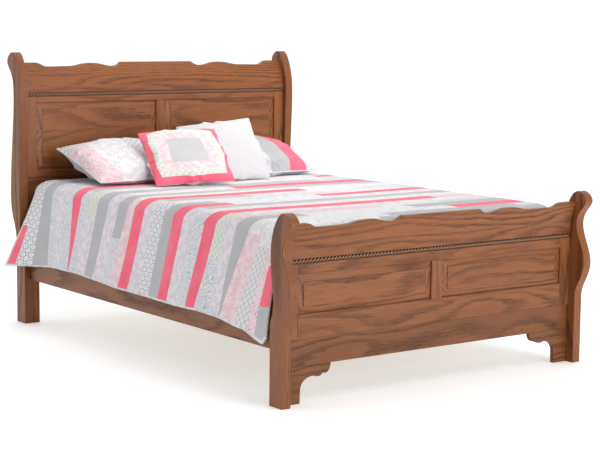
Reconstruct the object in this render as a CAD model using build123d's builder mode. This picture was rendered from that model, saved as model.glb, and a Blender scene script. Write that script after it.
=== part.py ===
"""Queen-size sleigh bed: S-profiled posts, panelled head- and footboard, side rails, slats and bedding.

Millimetres.  X runs across the bed (+X is the right-hand side seen from the foot), Y runs from the foot
towards the head, Z is up.  The origin is on the floor, at the centre of the overall length and width.
"""
import os

from build123d import *

os.makedirs("parts", exist_ok=True)

# --- driving dimensions -------------------------------------------------------------------------------
BED_WIDTH = 1660            # over the posts
LEG_SPAN = 2200             # front face of the foot legs to front face of the head legs
FOOT_OVERHANG = 51          # foot scroll and belly, forward of the foot leg
HEAD_OVERHANG = 168         # head scroll, behind the front face of the head leg
BED_LENGTH = LEG_SPAN + FOOT_OVERHANG + HEAD_OVERHANG
Y_FOOT = FOOT_OVERHANG - BED_LENGTH / 2
Y_HEAD = Y_FOOT + LEG_SPAN

POST_T = 44
POST_IN = BED_WIDTH / 2 - POST_T     # inner face of a post
FOOT_LEG_D = 86
HEAD_LEG_D = 90
BLOCK_W = 37                # inner leg block, beside the post
HEAD_BLOCK_TOP = 420
EASE = 1.5                  # eased edge on boards
POST_EASE = 2.5             # rounder edge on the posts

FRAME_T = 22                # stiles and rails of the panelled frames
STILE_W = 58
CENTRE_STILE_W = 58
TONGUE = 8                  # panel edge held in the frame's groove
TONGUE_T = 7
GROOVE_BACK = 9             # from the frame's front face to the groove
BEVEL_W = 32                # sloped border of a raised panel
ROPE_H = 20                 # strip that carries the twisted bead
ROPE_BEAD_R = 7

FOOT_FACE = 39              # front face of the foot frame, behind the leg's front face
FOOT_BOARD_LOW = 151        # lower edge of the bottom board
FOOT_FRAME_LOW = 262
FOOT_OPEN = (362, 525)      # panel opening, low and high
FOOT_FRAME_TOP = 566
FOOT_CREST_TOP = 731
FOOT_POST_TOP = 778

HEAD_FACE = 57
HEAD_BOARD_LOW = 330
HEAD_FRAME_LOW = 727
HEAD_OPEN = (759, 1099)
HEAD_FRAME_TOP = 1129
HEAD_CREST_TOP = 1297
HEAD_POST_TOP = 1348

CREST_T = 30
CREST_DIP = 20              # depth of the scallops
CREST_SPARE = 10            # extra height that the scalloped outline cuts off
BOARD_T = 20
BOARD_RECESS = 6            # lower boards sit this far behind the frame's face

RAIL_T = 22
RAIL_OUT = 802              # outer face of a side rail, from the centre plane
RAIL_LOW = 221
RAIL_H = 180
LEDGER = 25                 # square strip that carries the slats
LEDGER_LOW = 251
SLAT_T = 19
SLAT_W = 89
SLAT_COUNT = 5
SUPPORT_SIDE = 44

BRACKET_T = 4
BRACKET_H = 100
BRACKET_LOW = 290
FLANGE_RAIL = 45
FLANGE_LEG = 26
FLANGE_OUT = BRACKET_T + FLANGE_LEG
BOLT_R = 3.5
BOLT_HEAD_R = 6.5
BOLT_HEAD_H = 4
BOLT_DEPTH = 16
SCREW_R = 2.2
SCREW_HEAD_R = 4.2
SCREW_DEPTH = 12

MATTRESS_W = 1524
MATTRESS_L = 2032
MATTRESS_H = 220
BOX_H = 189
GAP = 0.3                   # air between loose pieces
QUILT_T = 12
QUILT_HEM = 300             # height of the hem above the floor
QUILT_HEM_X = 818           # inside of the hem, from the centre plane; it hangs clear of the rails
QUILT_FLARE = 32            # how far the hem swings out at the head end

SLAT_TOP = LEDGER_LOW + LEDGER + SLAT_T
BOX_LOW = SLAT_TOP + GAP
BOX_TOP = BOX_LOW + BOX_H
MATTRESS_LOW = BOX_TOP + GAP
MATTRESS_TOP = MATTRESS_LOW + MATTRESS_H
BED_Y0 = Y_FOOT + FOOT_LEG_D                     # rails butt against this plane
BED_Y1 = Y_HEAD
MATTRESS_Y0 = (BED_Y0 + BED_Y1 - MATTRESS_L) / 2
MATTRESS_Y1 = MATTRESS_Y0 + MATTRESS_L
RAIL_IN = RAIL_OUT - RAIL_T
SIDES = (("left", -1), ("right", 1))


def save(piece, name):
    """Label one finished piece and write it under its node's name."""
    piece.part.label = name
    export_step(piece.part, f"parts/{name}.step")


def span(low, high):
    """Centre and size of an interval."""
    return (low + high) / 2, high - low


def board(name, x, y, z):
    """A plain rectangular board between the given low and high faces."""
    (cx, dx), (cy, dy) = span(*x), span(*y)
    with BuildPart() as piece:
        with BuildSketch(Plane.XY.offset(z[0])):
            with Locations((cx, cy)):
                Rectangle(dx, dy)
        extrude(amount=z[1] - z[0])
        chamfer(piece.edges(), EASE)
    save(piece, name)


# --- posts --------------------------------------------------------------------------------------------
def scroll_post(name, x_low, y, outline, leg_depth):
    """Board with a square leg below and an S-shaped outline, given as (Y from the leg's face, Z)."""
    points = [(y + forward, z) for forward, z in outline]
    with BuildPart() as post:
        with BuildSketch(Plane.YZ.offset(x_low)):
            with BuildLine():
                Spline(*points, tangents=((0, 1), (0, -1)))
                Polyline(points[-1], (y + leg_depth, 0), (y, 0), points[0])
            make_face()
        extrude(amount=POST_T)
        rims = post.faces().filter_by(Axis.X).edges().filter_by_position(Axis.Z, 5, HEAD_POST_TOP)
        fillet(rims, POST_EASE)
    save(post, name)


# Front of the leg, belly, neck, scroll, crown, then down the back to the leg.
FOOT_OUTLINE = [(0, 300), (-25, 378), (-50, 455), (-25, 545), (1, 636), (-20, 690), (-FOOT_OVERHANG, 736),
                (-5, FOOT_POST_TOP), (58, 724), (84, 615), (74, 493), (64, 405), (74, 360),
                (FOOT_LEG_D, 325)]
# Front of the leg, long upright front, crown, scroll, neck, deep belly, then down to the leg.
HEAD_OUTLINE = [(0, 325), (24, 376), (46, 425), (46, 540), (42, 751), (28, 1120), (58, 1284),
                (122, HEAD_POST_TOP), (HEAD_OVERHANG, 1303), (136, 1255), (104, 1140), (124, 910),
                (144, 660), (134, 550), (108, 488), (92, 440), (HEAD_LEG_D, 390)]

for side, sign in SIDES:
    low_x = POST_IN if sign > 0 else -BED_WIDTH / 2
    scroll_post(f"foot_post_{side}", low_x, Y_FOOT, FOOT_OUTLINE, FOOT_LEG_D)
    scroll_post(f"head_post_{side}", low_x, Y_HEAD, HEAD_OUTLINE, HEAD_LEG_D)


# --- crest rails, rope mouldings and panelled frames --------------------------------------------------
def crest_outline(top, low):
    """Front elevation of a scalloped crest: flat centre, a notch, a hump, a long dip, flat ends."""
    half = [(213, 0), (262, -CREST_DIP), (386, -4), (530, -CREST_DIP + 1), (640, -CREST_DIP), (712, 0)]
    with BuildSketch(Plane.XZ) as outline:
        with BuildLine():
            points = [(x, top + drop) for x, drop in half]
            Line((0, top), points[0])
            Bezier(points[0], (228, top - 13), (243, points[1][1]), points[1])
            for (x0, z0), (x1, z1) in zip(points[1:-1], points[2:]):
                middle = (x0 + x1) / 2
                Bezier((x0, z0), (middle, z0), (middle, z1), (x1, z1))
            Line(points[-1], (POST_IN, top))
            Line((POST_IN, top), (POST_IN, low))
            Line((POST_IN, low), (0, low))
            Line((0, low), (0, top))
        make_face()
        mirror(about=Plane.YZ)
    return outline


def crest_rail(name, low, top, face, lean):
    """Curved rail, cut to its scalloped outline; its front face leans by `lean` from bottom to top."""
    rise = top - low
    with BuildPart() as crest:
        with BuildSketch(Plane.YZ.offset(-POST_IN)):
            with BuildLine():
                front = Bezier((face, low), (face, low + 0.4 * rise),
                               (face + 0.55 * lean, low + 0.75 * rise), (face + lean, top))
                back = Bezier((face + CREST_T, low), (face + CREST_T, low + 0.4 * rise),
                              (face + CREST_T + 0.55 * lean, low + 0.75 * rise),
                              (face + CREST_T + lean, top))
                Line(front @ 0, back @ 0)
                Line(front @ 1, front @ 1 + (0, CREST_SPARE))
                Line(back @ 1, back @ 1 + (0, CREST_SPARE))
                Line(front @ 1 + (0, CREST_SPARE), back @ 1 + (0, CREST_SPARE))
            make_face()
        extrude(amount=2 * POST_IN)
        extrude(to_extrude=crest_outline(top, low).sketch, amount=BED_LENGTH, both=True,
                mode=Mode.INTERSECT)
    save(crest, name)


def rope_moulding(name, low, face):
    """Recessed strip with a half-round bead, between the crest and the frame."""
    strip_front = face + 6
    with BuildPart() as rope:
        with BuildSketch(Plane.YZ.offset(-POST_IN)):
            with Locations((strip_front + 8, low + ROPE_H / 2)):
                Rectangle(16, ROPE_H)
            with Locations((strip_front, low + ROPE_H / 2)):
                Circle(ROPE_BEAD_R)
        extrude(amount=2 * POST_IN)
    save(rope, name)


def frame_member(name, x, z, face, grooves):
    """Stile or rail of a frame; `grooves` names the edges that hold a panel."""
    (cx, dx), (cz, dz) = span(*x), span(*z)
    groove_y = face + GROOVE_BACK + TONGUE_T / 2
    with BuildPart() as member:
        with BuildSketch(Plane.XY.offset(z[0])):
            with Locations((cx, face + FRAME_T / 2)):
                Rectangle(dx, FRAME_T)
        extrude(amount=dz)
        front_edges = member.faces().sort_by(Axis.Y)[0].edges()
        chamfer(front_edges, EASE)
        cuts = {"left": (x[0], cz, TONGUE * 2, dz + 2), "right": (x[1], cz, TONGUE * 2, dz + 2),
                "low": (cx, z[0], dx + 2, TONGUE * 2), "high": (cx, z[1], dx + 2, TONGUE * 2)}
        for edge in grooves:
            gx, gz, width, height = cuts[edge]
            with Locations((gx, groove_y, gz)):
                Box(width, TONGUE_T, height, mode=Mode.SUBTRACT)
    save(member, name)


def raised_panel(name, x, z, face):
    """Panel with a tongue all round, a sloped border, a small step and a flat field."""
    (cx, dx), (cz, dz) = span(*x), span(*z)
    tongue_front = face + GROOVE_BACK
    slope_top = face + 4
    field_front = face + 1.5
    front = Plane(origin=(cx, 0, cz), x_dir=(1, 0, 0), z_dir=(0, -1, 0))
    with BuildPart() as panel:
        with BuildSketch(front.offset(-tongue_front - TONGUE_T)):
            Rectangle(dx + 2 * TONGUE, dz + 2 * TONGUE)
        extrude(amount=TONGUE_T)
        with BuildSketch(front.offset(-tongue_front)):
            Rectangle(dx, dz)
        with BuildSketch(front.offset(-slope_top)):
            Rectangle(dx - 2 * BEVEL_W, dz - 2 * BEVEL_W)
        loft()
        with BuildSketch(front.offset(-slope_top)):
            Rectangle(dx - 2 * BEVEL_W, dz - 2 * BEVEL_W)
        extrude(amount=slope_top - field_front)
    save(panel, name)


def end_frame(end, face, low, opening, top):
    """Two side stiles, a centre stile, two rails and two raised panels."""
    stile_in = POST_IN - STILE_W
    mid = CENTRE_STILE_W / 2
    for side, sign in SIDES:
        stile = (stile_in, POST_IN) if sign > 0 else (-POST_IN, -stile_in)
        panel = (mid, stile_in) if sign > 0 else (-stile_in, -mid)
        frame_member(f"{end}_stile_{side}", stile, (low, top), face, ["left" if sign > 0 else "right"])
        raised_panel(f"{end}_panel_{side}", panel, opening, face)
    across = (-stile_in, stile_in)
    frame_member(f"{end}_top_rail", across, (opening[1], top), face, ["low"])
    frame_member(f"{end}_bottom_rail", across, (low, opening[0]), face, ["high"])
    frame_member(f"{end}_centre_stile", (-mid, mid), opening, face, ["left", "right"])


foot_y = Y_FOOT + FOOT_FACE
head_y = Y_HEAD + HEAD_FACE
end_frame("foot", foot_y, FOOT_FRAME_LOW, FOOT_OPEN, FOOT_FRAME_TOP)
end_frame("head", head_y, HEAD_FRAME_LOW, HEAD_OPEN, HEAD_FRAME_TOP)
rope_moulding("foot_rope_moulding", FOOT_FRAME_TOP, foot_y)
rope_moulding("head_rope_moulding", HEAD_FRAME_TOP, head_y)
crest_rail("foot_crest_rail", FOOT_FRAME_TOP + ROPE_H, FOOT_CREST_TOP, foot_y, -33)
crest_rail("head_crest_rail", HEAD_FRAME_TOP + ROPE_H, HEAD_CREST_TOP, head_y, 45)

# --- lower boards, corner brackets and leg blocks -----------------------------------------------------
board_y = (foot_y + BOARD_RECESS, foot_y + BOARD_RECESS + BOARD_T)
board("foot_lower_board", (-POST_IN, POST_IN), board_y, (FOOT_BOARD_LOW, FOOT_FRAME_LOW))
head_board_y = (head_y + BOARD_RECESS, head_y + BOARD_RECESS + BOARD_T)
board("head_lower_board", (-POST_IN, POST_IN), head_board_y, (HEAD_BOARD_LOW, HEAD_FRAME_LOW))


def corner_bracket(name, sign):
    """Scroll-cut foot bracket: straight toe, concave sweep, small cusp and a rounded end."""
    with BuildPart() as bracket:
        with BuildSketch(Plane.XZ.offset(-board_y[1])):
            with BuildLine():
                Line((0, 0), (77, 0))
                Line((77, 0), (79, 50))
                Bezier((79, 50), (79, 90), (110, 106), (146, 106))
                Bezier((146, 106), (158, 100), (172, 99), (184, 105))
                ThreePointArc((184, 105), (188, 111), (194, 112))
                Bezier((194, 112), (214, 107), (229, 120), (232, FOOT_BOARD_LOW))
                Line((232, FOOT_BOARD_LOW), (0, FOOT_BOARD_LOW))
                Line((0, FOOT_BOARD_LOW), (0, 0))
            make_face()
        extrude(amount=BOARD_T)
    placed = Pos(-POST_IN, 0, 0) * bracket.part
    if sign > 0:
        placed = mirror(placed, about=Plane.YZ)
    placed.label = name
    export_step(placed, f"parts/{name}.step")


bolt_z = [BRACKET_LOW + BRACKET_H / 4, BRACKET_LOW + 3 * BRACKET_H / 4]
bolt_x = RAIL_IN - BRACKET_T - FLANGE_LEG / 2


def leg_block(name, sign, y, top, bolt_face):
    """Inner leg block; `bolt_face` is the bed-side face that takes the bracket bolts."""
    inward = bolt_face - (y[0] + y[1]) / 2
    with BuildPart() as block:
        with BuildSketch(Plane.XY):
            with Locations((sign * (POST_IN - BLOCK_W / 2), (y[0] + y[1]) / 2)):
                Rectangle(BLOCK_W, y[1] - y[0])
        extrude(amount=top)
        chamfer(block.edges().filter_by(Axis.Z), EASE)
        with BuildSketch(Plane.XZ.offset(-bolt_face)):
            with Locations(*[(sign * bolt_x, z) for z in bolt_z]):
                Circle(BOLT_R)
        extrude(amount=BOLT_DEPTH if inward > 0 else -BOLT_DEPTH, mode=Mode.SUBTRACT)
    save(block, name)


for side, sign in SIDES:
    corner_bracket(f"foot_bracket_{side}", sign)
    leg_block(f"foot_leg_block_{side}", sign, (board_y[1], Y_FOOT + FOOT_LEG_D), FOOT_FRAME_TOP, BED_Y0)
    leg_block(f"head_leg_block_{side}", sign, (Y_HEAD, head_board_y[0]), HEAD_BLOCK_TOP, BED_Y1)


# --- side rails, ledgers, slats and supports ----------------------------------------------------------
def wood_screw(length):
    """Countersunk screw with its flat head at the origin, pointing down -Z."""
    with BuildPart() as screw:
        with BuildSketch(Plane.XZ):
            with BuildLine():
                Polyline((0, 0), (SCREW_HEAD_R, 0), (SCREW_R, -2.5), (SCREW_R, -length), (0, -length),
                         close=True)
            make_face()
        revolve(axis=Axis.Z)
    return screw.part


def drilled_board(name, x, y, z, screws):
    """A board with countersunk or pilot holes cut by the given screws; each is (screw, location)."""
    (cx, dx), (cy, dy) = span(*x), span(*y)
    with BuildPart() as piece:
        with BuildSketch(Plane.XY.offset(z[0])):
            with Locations((cx, cy)):
                Rectangle(dx, dy)
        extrude(amount=z[1] - z[0])
        chamfer(piece.edges(), EASE)
        for screw, place in screws:
            add(place * screw, mode=Mode.SUBTRACT)
    save(piece, name)


def screw_set(name, screws):
    """Identical screws in one node, each a solid of its own."""
    with BuildPart() as group:
        for screw, place in screws:
            add(place * screw)
    save(group, name)


slat_screw = wood_screw(SLAT_T + SCREW_DEPTH)
ledger_screw = wood_screw(LEDGER + SCREW_DEPTH)
plate_screw = wood_screw(BRACKET_T + SCREW_DEPTH)

slat_first = BED_Y0 + 210
slat_pitch = (BED_Y1 - BED_Y0 - 420) / (SLAT_COUNT - 1)
slat_y = [slat_first + i * slat_pitch for i in range(SLAT_COUNT)]
ledger_mid = RAIL_IN - LEDGER / 2
ledger_screw_y = [y + slat_pitch / 2 for y in slat_y[:-1]] + [slat_y[0] - 130, slat_y[-1] + 130]
plate_screw_y = [BED_Y0 + 0.7 * FLANGE_RAIL, BED_Y1 - 0.7 * FLANGE_RAIL]

slat_screws, ledger_screws, plate_screws = [], [], []
for side, sign in SIDES:
    into_rail = (0, -90 * sign, 0)           # head inwards, point towards the rail
    ends = [(slat_screw, Location((sign * ledger_mid, y, SLAT_TOP))) for y in slat_y]
    strips = [(ledger_screw, Location((sign * (RAIL_IN - LEDGER), y, LEDGER_LOW + LEDGER / 2), into_rail))
              for y in ledger_screw_y]
    plates = [(plate_screw, Location((sign * (RAIL_IN - BRACKET_T), y, z), into_rail))
              for y in plate_screw_y for z in bolt_z]
    rail_x = sorted((sign * RAIL_IN, sign * RAIL_OUT))
    ledger_x = sorted((sign * (RAIL_IN - LEDGER), sign * RAIL_IN))
    drilled_board(f"side_rail_{side}", rail_x, (BED_Y0, BED_Y1), (RAIL_LOW, RAIL_LOW + RAIL_H),
                  strips + plates)
    drilled_board(f"ledger_{side}", ledger_x, (BED_Y0 + 60, BED_Y1 - 60), (LEDGER_LOW, LEDGER_LOW + LEDGER),
                  strips + ends)
    slat_screws += ends
    ledger_screws += strips
    plate_screws += plates

support_slats = range(1, SLAT_COUNT - 1)
for i, y in enumerate(slat_y):
    centre = [(slat_screw, Location((0, y, SLAT_TOP)))] if i in support_slats else []
    ends = [(slat_screw, Location((sign * ledger_mid, y, SLAT_TOP))) for _, sign in SIDES]
    drilled_board(f"slat_{i + 1}", (2 - RAIL_IN, RAIL_IN - 2), (y - SLAT_W / 2, y + SLAT_W / 2),
                  (LEDGER_LOW + LEDGER, SLAT_TOP), ends + centre)
    if centre:
        half = SUPPORT_SIDE / 2
        drilled_board(f"support_leg_{i}", (-half, half), (y - half, y + half),
                      (0, LEDGER_LOW + LEDGER), centre)
        slat_screws += centre

screw_set("slat_screws", slat_screws)
screw_set("ledger_screws", ledger_screws)
screw_set("rail_bracket_screws", plate_screws)


# --- corner brackets of steel, with their bolts -------------------------------------------------------
def steel_bracket(name, sign, wall_y, inward):
    """Angle that joins a rail to a leg block; `inward` points from the leg towards the mattress."""
    side_face = sign * RAIL_IN
    with BuildPart() as bracket:
        with BuildSketch(Plane.XY.offset(BRACKET_LOW)):
            with BuildLine():
                Polyline((side_face, wall_y), (side_face, wall_y + inward * FLANGE_RAIL),
                         (side_face - sign * BRACKET_T, wall_y + inward * FLANGE_RAIL),
                         (side_face - sign * BRACKET_T, wall_y + inward * BRACKET_T),
                         (side_face - sign * FLANGE_OUT, wall_y + inward * BRACKET_T),
                         (side_face - sign * FLANGE_OUT, wall_y), close=True)
            make_face()
        extrude(amount=BRACKET_H)
        for screw, place in plate_screws:
            add(place * screw, mode=Mode.SUBTRACT)
        with BuildSketch(Plane.XZ.offset(-wall_y)):
            with Locations(*[(sign * bolt_x, z) for z in bolt_z]):
                Circle(BOLT_R)
        extrude(amount=2 * BRACKET_T, both=True, mode=Mode.SUBTRACT)
    save(bracket, name)


for side, sign in SIDES:
    steel_bracket(f"rail_bracket_foot_{side}", sign, BED_Y0, 1)
    steel_bracket(f"rail_bracket_head_{side}", sign, BED_Y1, -1)

with BuildPart() as bolts:
    for _, sign in SIDES:
        for wall_y, inward in ((BED_Y0, 1), (BED_Y1, -1)):
            plate_face = wall_y + inward * BRACKET_T
            places = [(sign * bolt_x, z) for z in bolt_z]
            with BuildSketch(Plane.XZ.offset(-plate_face)):
                with Locations(*places):
                    RegularPolygon(BOLT_HEAD_R, 6)
            extrude(amount=-inward * BOLT_HEAD_H)
            with BuildSketch(Plane.XZ.offset(-plate_face)):
                with Locations(*places):
                    Circle(BOLT_R)
            extrude(amount=inward * (BRACKET_T + BOLT_DEPTH))
save(bolts, "rail_bracket_bolts")

# --- box spring, mattress and quilt -------------------------------------------------------------------
MATTRESS_CORNER = 70
for name, low, high, edge in (("box_spring", BOX_LOW, BOX_TOP, 8),
                              ("mattress", MATTRESS_LOW, MATTRESS_TOP, 30)):
    with BuildPart() as block:
        with BuildSketch(Plane.XY.offset(low)):
            with Locations((0, (MATTRESS_Y0 + MATTRESS_Y1) / 2)):
                RectangleRounded(MATTRESS_W, MATTRESS_L, MATTRESS_CORNER)
        extrude(amount=high - low)
        fillet(block.faces().filter_by(Axis.Z).edges(), edge)
    save(block, name)

quilt_y0 = Y_FOOT + 98                 # just behind the foot posts
quilt_y2 = Y_HEAD - 10                 # just in front of the head legs
quilt_y1 = quilt_y2 - 740              # the hem starts to swing out here
under = MATTRESS_TOP + GAP
shoulder = MATTRESS_W / 2 + 2.5
TUCK_LOW = 480                         # the foot end hangs down to here, inside the footboard


def quilt_outline(flare):
    """Upside-down U across the bed, as (X, Z) points; `flare` swings the hem outwards."""
    hem = QUILT_HEM_X + flare
    lining = [(shoulder - 18, under), (shoulder, under - 14), (hem, QUILT_HEM)]
    face = [(hem + QUILT_T, QUILT_HEM), (shoulder + QUILT_T, under - 14), (shoulder - 14, under + QUILT_T)]
    half = lining + face
    return half + [(-x, z) for x, z in reversed(half)]


with BuildPart() as quilt:
    for y, flare in ((quilt_y0, 0), (quilt_y1, 0), (quilt_y2, QUILT_FLARE)):
        with BuildSketch(Plane.XZ.offset(-y)):
            with BuildLine():
                Polyline(*quilt_outline(flare), close=True)
            make_face()
    loft(ruled=True)
    with BuildSketch(Plane.XY.offset(TUCK_LOW)):
        with Locations((0, quilt_y0 + QUILT_T / 2)):
            Rectangle(2 * shoulder - 40, QUILT_T)
    extrude(amount=under + QUILT_T / 2 - TUCK_LOW)
save(quilt, "quilt")

# --- shams and square pillows -------------------------------------------------------------------------
PILLOW_TAPER = 55
quilt_top = under + QUILT_T
SHAM_W = 620
SHAM_MID = 330                         # centre of each sham from the bed's centre plane
SHAM_END = 110                         # length over which its ends thin out
SHAM_THIN = 0.3
# Front seam, over the top to the rear seam, and back underneath; Y from the foot leg's face, and Z.
SHAM_OUTLINE = [(1758, 745), (1850, 808), (1985, 876), (2100, 905), (2200, 867), (2160, 790), (2030, 728),
                (1880, 719), (1800, 726)]
SHAM_CENTRE = (1980, 800)

for side, sign in SIDES:
    with BuildPart() as sham:
        for x, size in ((-SHAM_W / 2, SHAM_THIN), (SHAM_END - SHAM_W / 2, 1),
                        (SHAM_W / 2 - SHAM_END, 1), (SHAM_W / 2, SHAM_THIN)):
            ring = [(Y_FOOT + SHAM_CENTRE[0] + size * (y - SHAM_CENTRE[0]),
                     SHAM_CENTRE[1] + size * (z - SHAM_CENTRE[1])) for y, z in SHAM_OUTLINE]
            with BuildSketch(Plane.YZ.offset(sign * SHAM_MID + x)):
                with BuildLine():
                    Polyline(*ring, close=True)
                make_face()
        loft(ruled=True)
    save(sham, f"sham_{side}")


def square_pillow(name, side, centre, yaw, lean, roll, front, back):
    """Square pillow about a leaning middle plane, thinning towards its seam, flat where it stands."""
    across = Vector(1, 0, 0).rotate(Axis.Z, yaw)
    normal = Vector(0, 0, 1).rotate(Axis((0, 0, 0), across), lean)
    slope = Plane(origin=centre, x_dir=across, z_dir=normal)
    middle = Plane(slope.location * Location((0, 0, 0), (0, 0, roll)))
    with BuildPart() as pillow:
        with BuildSketch(middle):
            RectangleRounded(side, side, 12)
        extrude(amount=front, taper=PILLOW_TAPER)
        with BuildSketch(middle):
            RectangleRounded(side, side, 12)
        extrude(amount=-back, taper=PILLOW_TAPER)
        split(bisect_by=Plane.XY.offset(quilt_top + GAP), keep=Keep.TOP)
    save(pillow, name)


square_pillow("throw_pillow", 400, (-192, Y_FOOT + 1710.5, 846), -20, 35.3, 4.5, 48, 40)
square_pillow("white_pillow", 380, (118, Y_FOOT + 1834, 852), -22.8, 46.7, 8.7, 45, 22)
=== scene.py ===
"""Sleigh bed made up with a quilt and pillows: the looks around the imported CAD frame.

Metres, in the CAD frame: X runs across the bed, Y from the foot to the head, Z is up.
"""
import math

import bmesh
import bpy
import numpy as np
from mathutils import Matrix, Vector, noise


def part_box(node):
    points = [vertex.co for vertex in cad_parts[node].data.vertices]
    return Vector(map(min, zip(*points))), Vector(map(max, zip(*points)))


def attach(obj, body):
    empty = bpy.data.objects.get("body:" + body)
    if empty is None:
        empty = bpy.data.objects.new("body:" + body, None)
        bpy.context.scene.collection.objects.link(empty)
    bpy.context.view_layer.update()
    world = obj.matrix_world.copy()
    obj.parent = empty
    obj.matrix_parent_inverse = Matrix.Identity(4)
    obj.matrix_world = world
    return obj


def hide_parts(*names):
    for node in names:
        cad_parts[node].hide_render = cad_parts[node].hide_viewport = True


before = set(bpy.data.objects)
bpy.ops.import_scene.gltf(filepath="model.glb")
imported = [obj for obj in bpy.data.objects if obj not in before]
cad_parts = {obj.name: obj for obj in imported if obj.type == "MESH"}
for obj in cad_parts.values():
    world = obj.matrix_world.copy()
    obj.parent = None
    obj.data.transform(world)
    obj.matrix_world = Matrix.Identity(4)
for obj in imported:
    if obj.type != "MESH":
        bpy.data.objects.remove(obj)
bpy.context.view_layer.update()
TAU = 2 * math.pi

# --- places taken from the frame ----------------------
FOOT_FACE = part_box("foot_stile_left")[0].y  # front face of the footboard's frame
HEAD_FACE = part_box("head_stile_left")[0].y  # front face of the headboard's frame
QUILT_LOW, QUILT_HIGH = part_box("quilt")
FOOT_EDGE = QUILT_LOW.y  # foot edge of the quilt's side drops


# --- node trees ---------------------------------------
class Nodes:
    """A material and short ways to add nodes to it."""

    def __init__(self, name):
        self.material = bpy.data.materials.new(name)
        self.material.use_nodes = True
        self.tree = self.material.node_tree
        self.shader = self.tree.nodes["Principled BSDF"]
        self.bumps = None

    def add(self, kind, inputs=None, **settings):
        node = self.tree.nodes.new(kind)
        for key, value in settings.items():
            setattr(node, key, value)
        for key, value in (inputs or {}).items():
            self.join(value, node.inputs[key])
        return node

    def join(self, value, socket):
        """Links another node's output, or sets a plain value."""
        if isinstance(value, bpy.types.NodeSocket):
            self.tree.links.new(value, socket)
        else:
            socket.default_value = value

    def math(self, operation, a, b=0.0, c=0.0):
        return self.add("ShaderNodeMath", {0: a, 1: b, 2: c}, operation=operation).outputs[0]

    def vector(self, operation, a, b=(0, 0, 0)):
        return self.add("ShaderNodeVectorMath", {0: a, 1: b}, operation=operation).outputs[0]

    def length(self, a):
        return self.add("ShaderNodeVectorMath", {0: a}, operation="LENGTH").outputs["Value"]

    def split(self, a):
        return self.add("ShaderNodeSeparateXYZ", {0: a}).outputs

    def combine(self, x, y, z=0.0):
        return self.add("ShaderNodeCombineXYZ", {0: x, 1: y, 2: z}).outputs[0]

    def coordinates(self, kind):
        return self.add("ShaderNodeTexCoord").outputs[kind]

    def noise(self, where, scale, detail=2.0, rough=0.5):
        """Noise from 0 to 1; `scale` is waves per metre, along each axis if it has three numbers."""
        steps = scale if hasattr(scale, "__len__") else (scale,) * 3
        place = self.vector("MULTIPLY", where, steps)
        settings = {"Vector": place, "Scale": 1.0, "Detail": detail, "Roughness": rough}
        return self.add("ShaderNodeTexNoise", settings).outputs["Fac"]

    def spread(self, value, low, high, to_low=0.0, to_high=1.0):
        """Smooth step: `low` gives `to_low` and `high` gives `to_high`; `low` may be the larger one."""
        settings = {0: value, 1: low, 2: high, 3: to_low, 4: to_high}
        return self.add("ShaderNodeMapRange", settings, interpolation_type="SMOOTHSTEP").outputs[0]

    def mix(self, factor, a, b):
        """Colour `a` where the factor is 0 and `b` where it is 1."""
        node = self.add("ShaderNodeMix", data_type="RGBA", clamp_factor=True)
        self.join(factor, node.inputs[0])
        for value, socket in ((a, node.inputs[6]), (b, node.inputs[7])):
            self.join(value if isinstance(value, bpy.types.NodeSocket) else (*value, 1), socket)
        return node.outputs[2]

    def bump(self, height, distance, strength):
        """Adds one more layer of bump on top of the earlier ones."""
        settings = {"Height": height, "Distance": distance, "Strength": strength}
        node = self.add("ShaderNodeBump", settings)
        if self.bumps:
            self.join(self.bumps, node.inputs["Normal"])
        self.bumps = node.outputs[0]
        self.join(self.bumps, self.shader.inputs["Normal"])

    def set(self, **values):
        """Sets sockets of the shader, named with _ for a space."""
        for key, value in values.items():
            self.join(value, self.shader.inputs[key.replace("_", " ")])


# --- wood and metal -----------------------------------
# Colours of the open pores, the early wood and the late wood.
OAK = ((0.042, 0.012, 0.004), (0.130, 0.041, 0.0118), (0.268, 0.093, 0.0285))
# Darker colours for the lower board and the corner brackets: painted shade below the proud frame.
OAK_UNDER_RAIL_SHADE = ((0.034, 0.010, 0.0034), (0.105, 0.033, 0.0095), (0.215, 0.074, 0.0225))
# Much darker colours for the recessed strip behind the rope bead: painted shade.
OAK_PAINTED_SHADE = ((0.016, 0.006, 0.003), (0.035, 0.013, 0.006), (0.060, 0.023, 0.010))
PINE = ((0.36, 0.22, 0.11), (0.50, 0.34, 0.19), (0.62, 0.45, 0.27))

# Waves per metre of each kind of figure: along the grain, across the face and into it.
DRIFT_WAVES = (1.1, 3.5, 3.5)
RAGGED_WAVES = (10.0, 110.0, 110.0)
FIBRE_WAVES = (9.0, 260.0, 260.0)
PORE_WAVES = (20.0, 480.0, 480.0)
BOLD_WAVES = (1.3, 6.0, 6.0)
TONE_WAVES = (1.6, 14.0, 14.0)
PLANED_WAVES = (5.0, 30.0, 30.0)
RING_DRIFT = 0.052  # how far the rings wander, which makes the cathedrals
RING_RAGGED = 0.0036  # how far a ring's edge frays
PITH_DEPTH = (0.11, 0.05)  # deepest and shallowest pith below the face of a plank


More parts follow.
